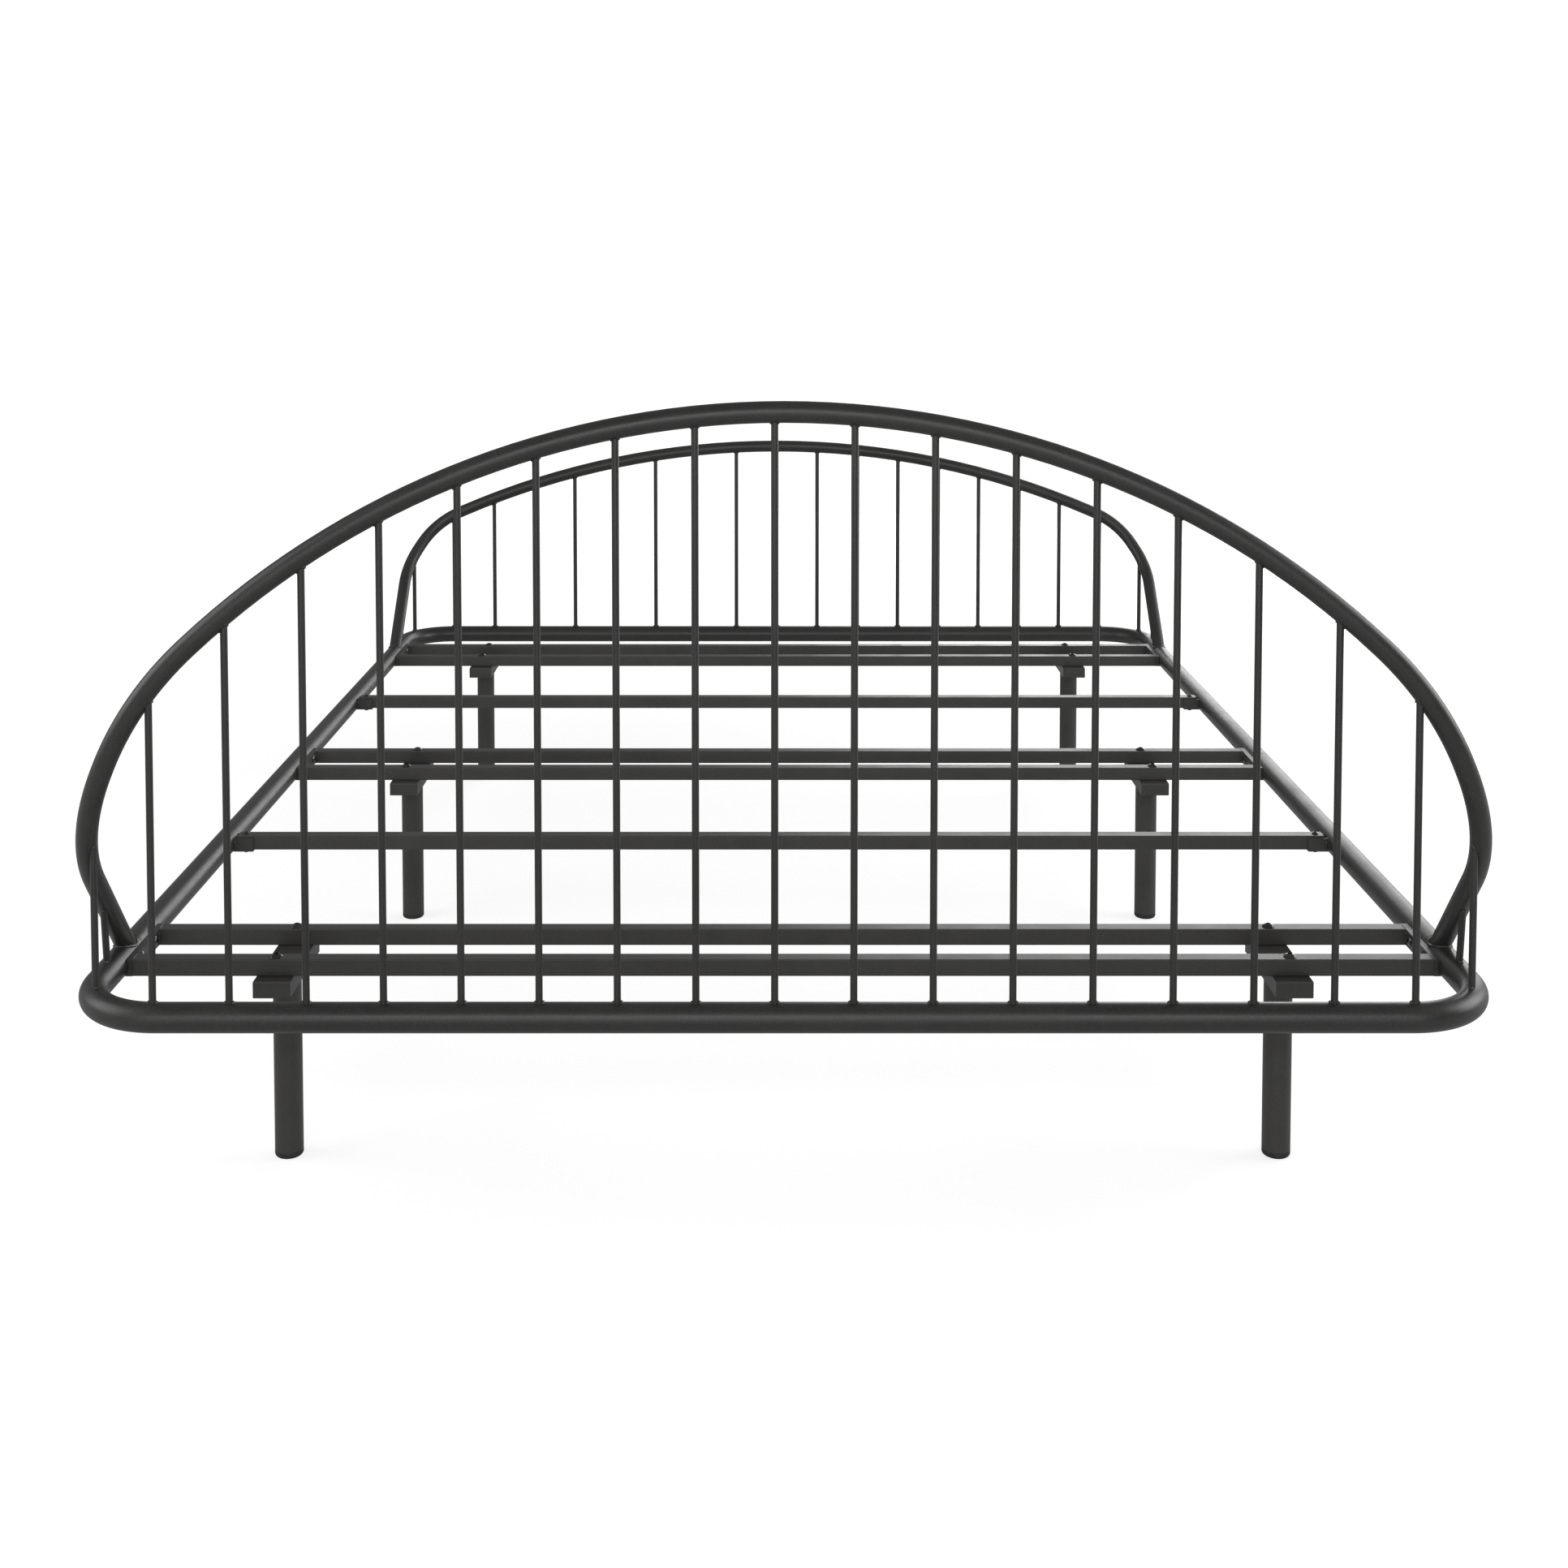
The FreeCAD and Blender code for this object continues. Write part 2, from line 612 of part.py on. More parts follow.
def domed_bolt(kind, length):
    """Socket head bolt with its head's underside at the origin, shank down."""
    head_radius = f"sizes.{kind}_bolt_head / 2"
    head_height = f"sizes.{kind}_bolt_head_height"
    dome_rise = f"({head_height} - sizes.bolt_head_rim)"
    dome_radius = f"(({head_radius} * {head_radius} + {dome_rise} * {dome_rise}) / (2 * {dome_rise}))"
    blank = cylinder(f"{kind}_bolt_blank", head_radius, head_height)
    ball = doc.addObject("Part::Sphere", f"{kind}_bolt_dome")
    bind(ball, Radius=dome_radius, Placement__Base__z=f"{head_height} - {dome_radius}")
    head = doc.addObject("Part::Common", f"{kind}_bolt_head")
    head.Base, head.Tool = blank, ball
    shank = cylinder(f"{kind}_bolt_shank", f"sizes.{kind}_bolt_diameter / 2", length)
    bind(shank, Placement__Base__z=f"-({length})")
    whole = doc.addObject("Part::Fuse", f"{kind}_bolt_whole")
    whole.Base, whole.Tool = head, shank
    socket = doc.addObject("Part::Prism", f"{kind}_bolt_socket")
    socket.Polygon = 6
    bind(socket, Circumradius=f"sizes.{kind}_bolt_socket / sqrt(3)", Height=head_height,
         Placement__Base__z=f"{head_height} - sizes.{kind}_bolt_socket_depth")
    return cut(f"{kind}_bolt", whole, socket)


def nut(kind):
    """Hexagon nut with its top at the origin."""
    height = f"sizes.{kind}_nut_height"
    block = doc.addObject("Part::Prism", f"{kind}_nut_block")
    block.Polygon = 6
    bind(block, Circumradius=f"sizes.{kind}_nut_flats / sqrt(3)", Height=height,
         Placement__Base__z=f"-{height}")
    bore = cylinder(f"{kind}_nut_bore", f"sizes.{kind}_bolt_diameter / 2", f"{height} + 2 * {TOOL_REACH}")
    bind(bore, Placement__Base__z=f"-{height} - {TOOL_REACH}")
    return cut(f"{kind}_nut", block, bore)


# ---------------------------------------------------------------- the whole bed

PAIRS = {
    "head": f"(sizes.pair_setback - {HALF_LENGTH})",
    "middle": "0",
    "foot": f"({HALF_LENGTH} - sizes.pair_setback)",
}
BAYS = {"head": f"({PAIRS['head']} / 2)", "foot": f"({PAIRS['foot']} / 2)"}
BED_END = f"({HALF_LENGTH} + {TOOL_REACH})"

side_bars = {
    sign: side_bar(f"{side}_side_line", sign, "sizes.rail_diameter", f"-{BED_END}", BED_END)
    for side, sign in SIDES
}
drills_at = {
    (pair, sign): joint_drills(f"{pair}_{side}", sign, y, "sizes.joint_bolt_diameter / 2 + sizes.hole_play")
    for pair, y in PAIRS.items()
    for side, sign in SIDES
}

arch_bars_at = {"head": [end_frame("head", 1)], "middle": [], "foot": [end_frame("foot", -1)]}

for side, sign in SIDES:
    for which, ends in (("head", ("head", "middle")), ("foot", ("middle", "foot"))):
        side_rail(f"side_rail_{side}_{which}", sign, PAIRS[ends[0]], PAIRS[ends[1]],
                  [drills_at[end, sign] for end in ends])

pair_slat_length = "sizes.frame_width - sizes.rail_diameter - 2 * sizes.plate_thickness"
single_slat_length = "sizes.frame_width - sizes.rail_diameter - 2 * sizes.slat_end_gap"
for pair, y in PAIRS.items():
    for name, way in (("first", -1), ("second", 1)):
        slat(f"{pair}_slat_{name}", f"{y} + {way} * sizes.slat_spacing / 2", SLAT_AXIS, pair_slat_length,
             LEG_X, "saddle_bolt_diameter")
    for side, sign in SIDES:
        end_plate(f"{pair}_plate_{side}", sign, y, drills_at[pair, sign], arch_bars_at[pair])
        saddle(f"{pair}_saddle_{side}", sign, y)
        leg(f"{pair}_leg_{side}", sign, y)
        leg_cap(f"{pair}_leg_cap_{side}", sign, y)
keep("joint_sleeves", gather("joint_sleeves_all", [
    joint_sleeve(f"{pair}_sleeve_{side}", sign, y) for pair, y in PAIRS.items() for side, sign in SIDES
]))
for bay, y in BAYS.items():
    slat(f"{bay}_bay_slat", y, f"{SLAT_AXIS} + sizes.bay_slat_lift", single_slat_length,
         HOLDER_BOLT_X, "holder_bolt_diameter")
    for side, sign in SIDES:
        holder(f"{bay}_bay_holder_{side}", sign, y)

# ---------------------------------------------------------------- fasteners in place

NUT_AND_TAIL = "sizes.{0}_nut_height + sizes.bolt_tail"
saddle_bolt = domed_bolt("saddle", "sizes.slat_size + sizes.saddle_wall + " + NUT_AND_TAIL.format("saddle"))
holder_bolt = domed_bolt("holder", "sizes.slat_size + sizes.holder_wall + " + NUT_AND_TAIL.format("holder"))
joint_bolt = domed_bolt("joint", "sizes.plate_thickness + sizes.rail_wall + sizes.sleeve_play"
                                 " + sizes.sleeve_wall + sizes.bolt_tail")
saddle_nut, holder_nut = nut("saddle"), nut("holder")
doc.recompute()

pair_reach = size("frame_length") / 2 - size("pair_setback")
pair_middles = (-pair_reach, 0, pair_reach)
slat_bottom = size("rail_height") - size("slat_drop") - size("slat_size") / 2
slat_top = slat_bottom + size("slat_size")
lift = size("bay_slat_lift")
leg_x = size("frame_width") / 2 - size("leg_inset")
rail_face = size("frame_width") / 2 - size("rail_diameter") / 2
holder_bolt_x = rail_face - size("holder_length") / 2
plate_face = rail_face - size("plate_thickness")


def standing(xs, ys, z):
    """Upright placements, left and right, at each place along the bed."""
    return [Placement(Vector(sign * xs, y, z), Rotation()) for y in ys for _, sign in SIDES]


pair_slat_ys = [y + way * size("slat_spacing") / 2 for y in pair_middles for way in (-1, 1)]
bay_slat_ys = (-pair_reach / 2, pair_reach / 2)
copies("saddle_bolts", saddle_bolt, standing(leg_x, pair_slat_ys, slat_top))
copies("saddle_nuts", saddle_nut, standing(leg_x, pair_slat_ys, slat_bottom - size("saddle_wall")))
copies("holder_bolts", holder_bolt, standing(holder_bolt_x, bay_slat_ys, slat_top + lift))
copies("holder_nuts", holder_nut,
       standing(holder_bolt_x, bay_slat_ys, slat_bottom + lift - size("holder_wall")))
copies("joint_bolts", joint_bolt, [
    Placement(Vector(sign * plate_face, y + way * size("joint_bolt_offset"), size("rail_height")),
              Rotation(Vector(0, 0, 1), Vector(-sign, 0, 0)))
    for y in pair_middles for way in (-1, 1) for _, sign in SIDES
])

# ---------------------------------------------------------------- check and write

doc.recompute()
for thing in doc.Objects:
    if "Invalid" in thing.State or "Error" in thing.State:
        raise RuntimeError(f"{thing.Label} failed: {thing.State}")
for node, thing in nodes.items():
    if thing.Shape.isNull() or not thing.Shape.isValid() or not thing.Shape.Solids:
        raise RuntimeError(f"{node} has no valid shape")

os.makedirs("parts", exist_ok=True)
for node, thing in nodes.items():
    thing.Shape.exportStep(f"parts/{node}.step")
print(len(nodes), "nodes")
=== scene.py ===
import random
from math import asin, ceil, copysign, cos, pi, radians, sin, sqrt, tan

import bmesh
import bpy
import numpy as np
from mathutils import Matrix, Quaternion, Vector


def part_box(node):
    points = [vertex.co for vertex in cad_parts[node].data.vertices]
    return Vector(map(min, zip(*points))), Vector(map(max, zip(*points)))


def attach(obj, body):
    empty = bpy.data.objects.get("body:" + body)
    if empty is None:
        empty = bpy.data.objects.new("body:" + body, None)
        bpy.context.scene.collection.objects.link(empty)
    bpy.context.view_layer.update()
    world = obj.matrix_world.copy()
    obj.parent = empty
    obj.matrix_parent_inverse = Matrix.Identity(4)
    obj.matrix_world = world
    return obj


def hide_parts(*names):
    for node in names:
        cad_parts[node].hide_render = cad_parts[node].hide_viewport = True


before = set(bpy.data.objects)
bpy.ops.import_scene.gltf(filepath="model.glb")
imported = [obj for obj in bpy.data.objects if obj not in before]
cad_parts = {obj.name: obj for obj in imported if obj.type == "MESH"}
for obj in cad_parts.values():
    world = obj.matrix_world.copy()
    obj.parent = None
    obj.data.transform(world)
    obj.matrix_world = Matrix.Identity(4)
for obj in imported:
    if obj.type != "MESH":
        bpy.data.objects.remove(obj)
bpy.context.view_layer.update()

# A tube bed frame in powder coat. The round tubes and rods are drawn finely here, in the places of
# the frame's own. Slats, plates, holders, saddles, legs and fasteners stay as they are and get their
# finish. Metres, +Z up, +Y from the head to the foot.

scene = bpy.context.scene
chance = random.Random(11)

SIDES = (("left", -1), ("right", 1))
PAIRS = ("head", "middle", "foot")
BAYS = ("head", "foot")


# ---------------------------------------------------------------- sizes

def middle_of(name):
    low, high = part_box(name)
    return (low + high) / 2


rail_low, rail_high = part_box("head_rail")
RAIL_RADIUS = (rail_high.z - rail_low.z) / 2
RAIL_AXIS = (rail_high.z + rail_low.z) / 2
HALF_WIDTH = rail_high.x - RAIL_RADIUS
HALF_LENGTH = -rail_low.y - RAIL_RADIUS
SEAM = -rail_high.y                  # from the middle of the bed to the joints of the side rails
ARCH_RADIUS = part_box("head_arch")[1].x - HALF_WIDTH
SPINDLE_RADIUS = 0.004
CORNER_RADIUS = 0.095
LANDING_TO_SEAM = 0.022
SPINDLES_EACH_SIDE = 8
OUTER_SPINDLE_PAST_BEND = 0.003
CORNER_SPINDLE_ANGLE = radians(58.5)
SIDE_SPINDLE_PAST_BEND = 0.031
SIDE_SPINDLE_LEAN = 0.012
BEND_SHARE = 0.97                    # how much of a run its bend may use up
ARC_STEP = radians(1.5)
TUBE_SIDES = 48
ROD_SIDES = 24
SEAM_CHAMFER = 0.0006                # at tube ends that meet
SHARP_CORNER = radians(40)           # an edge that turns this far or more stays sharp
NO_LENGTH = 1e-12                    # stands for the squared length of a run that has none

# Heights are from the rail axis, insets and setbacks from the axes of the side and end rails.
ARCHES = {
    "head": {"inward": 1, "sagitta": 0.256, "crown_inset": 0.136, "shoulder_run": 0.090,
             "flank_height": 0.188, "flank_setback": 0.030, "shoulder_bend": 0.600, "flank_bend": 0.310},
    "foot": {"inward": -1, "sagitta": 0.139, "crown_inset": 0.113, "shoulder_run": 0.065,
             "flank_height": 0.157, "flank_setback": 0.050, "shoulder_bend": 0.150, "flank_bend": 0.165},
}


# ---------------------------------------------------------------- lines

class Line:
    """A run of points, and how far any place is from it."""

    def __init__(self, points):
        self.points = points
        places = np.array(points)
        self.starts = places[:-1]
        self.spans = np.diff(places, axis=0)

    def nearest(self, place, flat=False):
        """The nearest point of the line, and its distance. Flat looks from straight above."""
        spans = self.spans * (1, 1, 0) if flat else self.spans
        offsets = np.array(place) - self.starts
        shares = np.clip((offsets * spans).sum(1) / np.maximum((spans ** 2).sum(1), NO_LENGTH), 0, 1)
        found = self.starts + shares[:, None] * self.spans
        gaps = (found - np.array(place)) * ((1, 1, 0) if flat else (1, 1, 1))
        distances = np.linalg.norm(gaps, axis=1)
        best = int(distances.argmin())
        return Vector(found[best]), float(distances[best])


def rounded(before, corner, after, radius):
    """Points of the arc that rounds a corner, no larger than its two runs allow."""
    back, on = (before - corner).normalized(), (after - corner).normalized()
    half = back.angle(on) / 2
    room = BEND_SHARE * min((before - corner).length, (after - corner).length)
    setback = min(radius / tan(half), room)
    centre = corner + (back + on).normalized() * (setback * tan(half) / sin(half))
    start = corner + back * setback - centre
    end = corner + on * setback - centre
    turn = pi - 2 * half
    axle = start.cross(end).normalized()
    steps = ceil(turn / ARC_STEP)
    return [centre + Quaternion(axle, turn * step / steps) @ start for step in range(steps + 1)]


def rail_line(inward):
    """The U of one end: a side, the end, the other side."""
    end_y = -inward * HALF_LENGTH
    corners = [
        Vector((-HALF_WIDTH, -inward * SEAM, RAIL_AXIS)),
        Vector((-HALF_WIDTH, end_y, RAIL_AXIS)),
        Vector((HALF_WIDTH, end_y, RAIL_AXIS)),
        Vector((HALF_WIDTH, -inward * SEAM, RAIL_AXIS)),
    ]
    left = rounded(corners[0], corners[1], corners[2], CORNER_RADIUS)
    right = rounded(corners[1], corners[2], corners[3], CORNER_RADIUS)
    return Line([corners[0], *left, *right, corners[3]])


def arch_line(which):
    """Half the arch, from the crown to its end on the rail's axis, and its mirror image."""
    shape = ARCHES[which]
    inward = shape["inward"]
    end_y = -inward * HALF_LENGTH
    chord = HALF_WIDTH - shape["crown_inset"]
    crown_radius = (chord ** 2 + shape["sagitta"] ** 2) / (2 * shape["sagitta"])
    crown_angle = asin(chord / crown_radius)
    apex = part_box(f"{which}_arch")[1].z - ARCH_RADIUS
    steps = ceil(crown_angle / ARC_STEP)
    crown = [
        Vector((crown_radius * sin(angle), end_y, apex - crown_radius * (1 - cos(angle))))
        for angle in (crown_angle * step / steps for step in range(steps + 1))
    ]
    shoulder = crown[-1] + Vector((cos(crown_angle), 0, -sin(crown_angle))) * shape["shoulder_run"]
    flank_y = end_y + inward * shape["flank_setback"]
    flank = Vector((HALF_WIDTH, flank_y, RAIL_AXIS + shape["flank_height"]))
    landing_y = -inward * (SEAM + LANDING_TO_SEAM)
    landing = Vector((HALF_WIDTH, landing_y, RAIL_AXIS + RAIL_RADIUS))
    fall = landing - flank
    root = landing + fall * ((RAIL_AXIS - landing.z) / fall.z)
    middle = (shoulder + flank) / 2
    right = [
        *crown,
        *rounded(crown[-1], shoulder, middle, shape["shoulder_bend"]),
        *rounded(middle, flank, root, shape["flank_bend"]),
        root,
    ]
    left = [Vector((-point.x, point.y, point.z)) for point in reversed(right[1:])]
    return Line(left + right)


# ---------------------------------------------------------------- mesh making

def full_turn(steps):
    """Even angles once round."""
    return [2 * pi * step / steps for step in range(steps)]


def add_tube(mesh, points, radii, sides=TUBE_SIDES, chamfer=0.0, closed=False):
    """The skin of a round bar along a run of points. radii is one number, or one for each point."""
    points = [Vector(point) for point in points]
    radii = list(radii) if hasattr(radii, "__len__") else [radii] * len(points)
    if chamfer:
        for end, beside, spot in ((0, 1, 1), (-1, -2, -1)):
            shift = (points[beside] - points[end]).normalized() * chamfer
            full_radius = radii[end]
            radii[end] -= chamfer
            points.insert(spot, points[end] + shift)
            radii.insert(spot, full_radius)
    count = len(points)
    rings = []
    tangent, side = None, None
    for index, point in enumerate(points):
        behind = points[index - 1] if closed or index else point
        ahead = points[(index + 1) % count] if closed or index < count - 1 else point
        heading = (ahead - behind).normalized()
        if side is None:
            side = heading.orthogonal().normalized()
        else:
            side = (tangent.rotation_difference(heading) @ side).normalized()
        tangent = heading
        up = tangent.cross(side)
        rings.append([
            mesh.verts.new(point + (side * cos(angle) + up * sin(angle)) * radii[index])
            for angle in full_turn(sides)
        ])
    pairs = list(zip(rings, rings[1:]))
    if closed:
        start = rings[-1][0].co
        offset = min(range(sides), key=lambda number: (rings[0][number].co - start).length)
        pairs.append((rings[-1], rings[0][offset:] + rings[0][:offset]))
    for first, second in pairs:
        for number in range(sides):
            following = (number + 1) % sides
            mesh.faces.new((first[number], first[following], second[following], second[number]))
    if not closed:
        mesh.faces.new(list(reversed(rings[0])))
        mesh.faces.new(rings[-1])


def make_piece(name, mesh, material, stands_for=()):
    """A finished piece that rides on the bed, smooth but for its sharp corners."""
    bmesh.ops.recalc_face_normals(mesh, faces=mesh.faces)
    for face in mesh.faces:
        face.smooth = True
    for edge in mesh.edges:
        edge.smooth = edge.calc_face_angle(0.0) < SHARP_CORNER
    data = bpy.data.meshes.new(name)
    mesh.to_mesh(data)
    mesh.free()
    data.materials.append(material)
    piece = bpy.data.objects.new(name, data)
    scene.collection.objects.link(piece)
    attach(piece, "root")
    if stands_for:
        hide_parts(*stands_for)


# ---------------------------------------------------------------- finishes

def node(tree, kind, inputs=None, **settings):
    """A shader node with its settings and inputs; an input is a value or another node's output."""
    made = tree.nodes.new(kind)
    for key, value in settings.items():
        setattr(made, key, value)
    for key, value in (inputs or {}).items():
        if isinstance(value, bpy.types.NodeSocket):
            tree.links.new(value, made.inputs[key])
        else:
            made.inputs[key].default_value = value
    return made


def effect(name, inputs, outputs):
    """An empty node group with named sockets. inputs gives each one's kind and value."""
    group = bpy.data.node_groups.new(name, "ShaderNodeTree")
    for label, (kind, value) in inputs.items():
        socket = group.interface.new_socket(label, in_out="INPUT", socket_type=kind)
        if value is not None:
            socket.default_value = value
    for label, kind in outputs.items():
        group.interface.new_socket(label, in_out="OUTPUT", socket_type=kind)
    return group, group.nodes.new("NodeGroupInput").outputs, group.nodes.new("NodeGroupOutput").inputs


def make_powder_grain():
    """The fine pebbled skin of a sprayed and baked coat, with a few brighter flecks."""
    group, given, result = effect(
        "powder_grain",
        {"Vector": ("NodeSocketVector", None), "Grain Scale": ("NodeSocketFloat", 700.0),
         "Ripple Scale": ("NodeSocketFloat", 160.0), "Ripple Share": ("NodeSocketFloat", 0.35),
         "Fleck Share": ("NodeSocketFloat", 0.3)},
        {"Height": "NodeSocketFloat", "Fleck": "NodeSocketFloat"},
    )
    grain = node(group, "ShaderNodeTexNoise", {"Vector": given["Vector"], "Scale": given["Grain Scale"],
                                               "Detail": 2.0, "Roughness": 0.6})
    ripple = node(group, "ShaderNodeTexNoise", {"Vector": given["Vector"],
                                                "Scale": given["Ripple Scale"], "Detail": 1.0})
    height = node(group, "ShaderNodeMix", {"Factor": given["Ripple Share"], "A": grain.outputs["Fac"],
                                           "B": ripple.outputs["Fac"]})
    group.links.new(height.outputs["Result"], result["Height"])
    cells = node(group, "ShaderNodeTexVoronoi", {"Vector": given["Vector"],
                                                 "Scale": given["Grain Scale"]})
    chosen = node(group, "ShaderNodeSeparateColor", {"Color": cells.outputs["Color"]})
    bright = node(group, "ShaderNodeMapRange", {"Value": chosen.outputs["Red"], "From Min": 0.55,
                                                "From Max": 1.0, "To Max": given["Fleck Share"]})
    group.links.new(bright.outputs["Result"], result["Fleck"])
    return group


def make_spray_clouds():
    """Slow changes in how thick a coat lies, over a hand's breadth and over a whole tube."""
    group, given, result = effect(
        "spray_clouds",
        {"Vector": ("NodeSocketVector", None), "Near Scale": ("NodeSocketFloat", 22.0),
         "Far Scale": ("NodeSocketFloat", 3.0)},
        {"Cloud": "NodeSocketFloat"},
    )
    near = node(group, "ShaderNodeTexNoise", {"Vector": given["Vector"], "Scale": given["Near Scale"],
                                              "Detail": 3.0})
    far = node(group, "ShaderNodeTexNoise", {"Vector": given["Vector"], "Scale": given["Far Scale"],
                                             "Detail": 1.0})
    both = node(group, "ShaderNodeMath", {0: near.outputs["Fac"], 1: far.outputs["Fac"]},
                operation="MULTIPLY")
    spread = node(group, "ShaderNodeMapRange", {"Value": both.outputs["Value"], "From Min": 0.12,
                                                "From Max": 0.4})
    group.links.new(spread.outputs["Result"], result["Cloud"])
    return group


def make_rub_marks():
    """Faint streaks along one way, as from wiping, a die or a driver."""
    group, given, result = effect(
        "rub_marks",
        {"Vector": ("NodeSocketVector", None), "Stretch": ("NodeSocketVector", (1.0, 1.0, 1.0)),
         "Scale": ("NodeSocketFloat", 300.0), "Threshold": ("NodeSocketFloat", 0.55)},
        {"Mark": "NodeSocketFloat"},
    )
    drawn = node(group, "ShaderNodeVectorMath", {0: given["Vector"], 1: given["Stretch"]},
                 operation="MULTIPLY")
    streaks = node(group, "ShaderNodeTexNoise", {"Vector": drawn.outputs["Vector"],
                                                 "Scale": given["Scale"], "Detail": 2.0})
    mark = node(group, "ShaderNodeMapRange", {"Value": streaks.outputs["Fac"],
                                              "From Min": given["Threshold"], "From Max": 0.85})
    group.links.new(mark.outputs["Result"], result["Mark"])
    return group


powder_grain = make_powder_grain()
spray_clouds = make_spray_clouds()
rub_marks = make_rub_marks()


def start_material(name):
    """A new material with its node tree, its shader and the place on the piece."""
    material = bpy.data.materials.new(name)
    material.use_nodes = True
    tree = material.node_tree
    shader = tree.nodes["Principled BSDF"]
    place = node(tree, "ShaderNodeTexCoord").outputs["Object"]
    return material, tree, shader, place


def set_inputs(tree, shader, **inputs):
    """Give a shader its inputs by name, each a value or another node's output."""
    for key, value in inputs.items():
        label = key.replace("_", " ")
        if isinstance(value, bpy.types.NodeSocket):
            tree.links.new(value, shader.inputs[label])
        else:
            shader.inputs[label].default_value = value


def colour_socket(sockets, label):
    """A mix node has several sockets with one label; this is the one for colours."""
    return next(socket for socket in sockets if socket.name == label and socket.type == "RGBA")


def blend_colour(tree, factor, first, second):
    """From the first colour to the second, as the factor goes from 0 to 1."""
    mix = tree.nodes.new("ShaderNodeMix")
    mix.data_type = "RGBA"
    tree.links.new(factor, mix.inputs["Factor"])
    for label, colour in (("A", first), ("B", second)):
        socket = colour_socket(mix.inputs, label)
        if isinstance(colour, bpy.types.NodeSocket):
            tree.links.new(colour, socket)
        else:
            socket.default_value = (*colour, 1.0)
    return colour_socket(mix.outputs, "Result")


def between(tree, factor, low, high):
    """A value from low to high, as the factor goes from 0 to 1."""
    return node(tree, "ShaderNodeMapRange", {"Value": factor, "To Min": low, "To Max": high}).outputs[0]


def make_coat(name, thin, thick, fleck, smooth, dull, grain_scale, relief):
    """A satin powder coat. thin, thick and fleck are its colours, smooth and dull its roughness,
    relief the height of its grain."""
    material, tree, shader, place = start_material(name)
    cloud = node(tree, "ShaderNodeGroup", {"Vector": place}, node_tree=spray_clouds).outputs["Cloud"]
    grain = node(tree, "ShaderNodeGroup", {"Vector": place, "Grain Scale": grain_scale},
                 node_tree=powder_grain)
    body = blend_colour(tree, cloud, thin, thick)
    colour = blend_colour(tree, grain.outputs["Fleck"], body, fleck)
    bump = node(tree, "ShaderNodeBump", {"Strength": 1.0, "Distance": relief,
                                         "Height": grain.outputs["Height"]})
    set_inputs(tree, shader, Base_Color=colour, Roughness=between(tree, cloud, smooth, dull),
               Normal=bump.outputs["Normal"], Specular_IOR_Level=0.5)
    return material


# The tube and rod coats are the same powder coat as the flat coat, set darker in colour: painted shade, for
# the round tubes and rods looking darker than the flat parts.
tube_coat_painted_shade = make_coat(
    "tube_coat_painted_shade", thin=(0.0205, 0.0198, 0.0188), thick=(0.028, 0.027, 0.0256), fleck=(0.062, 0.060, 0.057),
    smooth=0.34, dull=0.42, grain_scale=850.0, relief=0.00020)
flat_coat = make_coat(
    "flat_coat", thin=(0.036, 0.035, 0.033), thick=(0.045, 0.044, 0.0415), fleck=(0.075, 0.073, 0.070),
    smooth=0.38, dull=0.46, grain_scale=850.0, relief=0.00016)
rod_coat_painted_shade = make_coat(
    "rod_coat_painted_shade", thin=(0.021, 0.020, 0.019), thick=(0.028, 0.027, 0.0256), fleck=(0.058, 0.056, 0.053),
    smooth=0.34, dull=0.42, grain_scale=1000.0, relief=0.00012)
weld_coat = make_coat(
    "weld_coat", thin=(0.022, 0.021, 0.020), thick=(0.034, 0.033, 0.031), fleck=(0.100, 0.098, 0.094),
    smooth=0.22, dull=0.32, grain_scale=500.0, relief=0.00030)


def make_black_screw():
    """Blackened and oiled steel: glossy, with fine turning marks and a little rubbed metal."""
    material, tree, shader, place = start_material("black_screw")
    cloud = node(tree, "ShaderNodeGroup", {"Vector": place, "Near Scale": 90.0, "Far Scale": 20.0},
                 node_tree=spray_clouds).outputs["Cloud"]
    mark = node(tree, "ShaderNodeGroup", {"Vector": place, "Stretch": (1.0, 1.0, 6.0), "Scale": 500.0,
                                          "Threshold": 0.6}, node_tree=rub_marks).outputs["Mark"]
    body = blend_colour(tree, cloud, (0.035, 0.034, 0.033), (0.070, 0.068, 0.066))
    colour = blend_colour(tree, mark, body, (0.26, 0.26, 0.25))
    bump = node(tree, "ShaderNodeBump", {"Strength": 0.6, "Distance": 0.00004, "Height": mark})
    set_inputs(tree, shader, Base_Color=colour, Roughness=between(tree, cloud, 0.14, 0.24), Metallic=0.8,
               Coat_Weight=0.5, Coat_Roughness=0.10, Normal=bump.outputs["Normal"])
    return material


def make_cap_plastic():
    """Matt moulded plastic with a spark-eroded skin, scuffed near the floor."""
    material, tree, shader, place = start_material("cap_plastic_skin")
    grain = node(tree, "ShaderNodeGroup", {"Vector": place, "Grain Scale": 1500.0, "Ripple Share": 0.1,
                                           "Fleck Share": 0.2}, node_tree=powder_grain)
    scuff = node(tree, "ShaderNodeGroup", {"Vector": place, "Stretch": (1.0, 1.0, 5.0), "Scale": 140.0,
                                           "Threshold": 0.5}, node_tree=rub_marks).outputs["Mark"]
    body = blend_colour(tree, grain.outputs["Fleck"], (0.016, 0.016, 0.016), (0.035, 0.035, 0.035))
    colour = blend_colour(tree, scuff, body, (0.060, 0.060, 0.058))
    bump = node(tree, "ShaderNodeBump", {"Strength": 0.8, "Distance": 0.00008,
                                         "Height": grain.outputs["Height"]})
    set_inputs(tree, shader, Base_Color=colour, Roughness=between(tree, scuff, 0.55, 0.7),
               Normal=bump.outputs["Normal"])
    return material


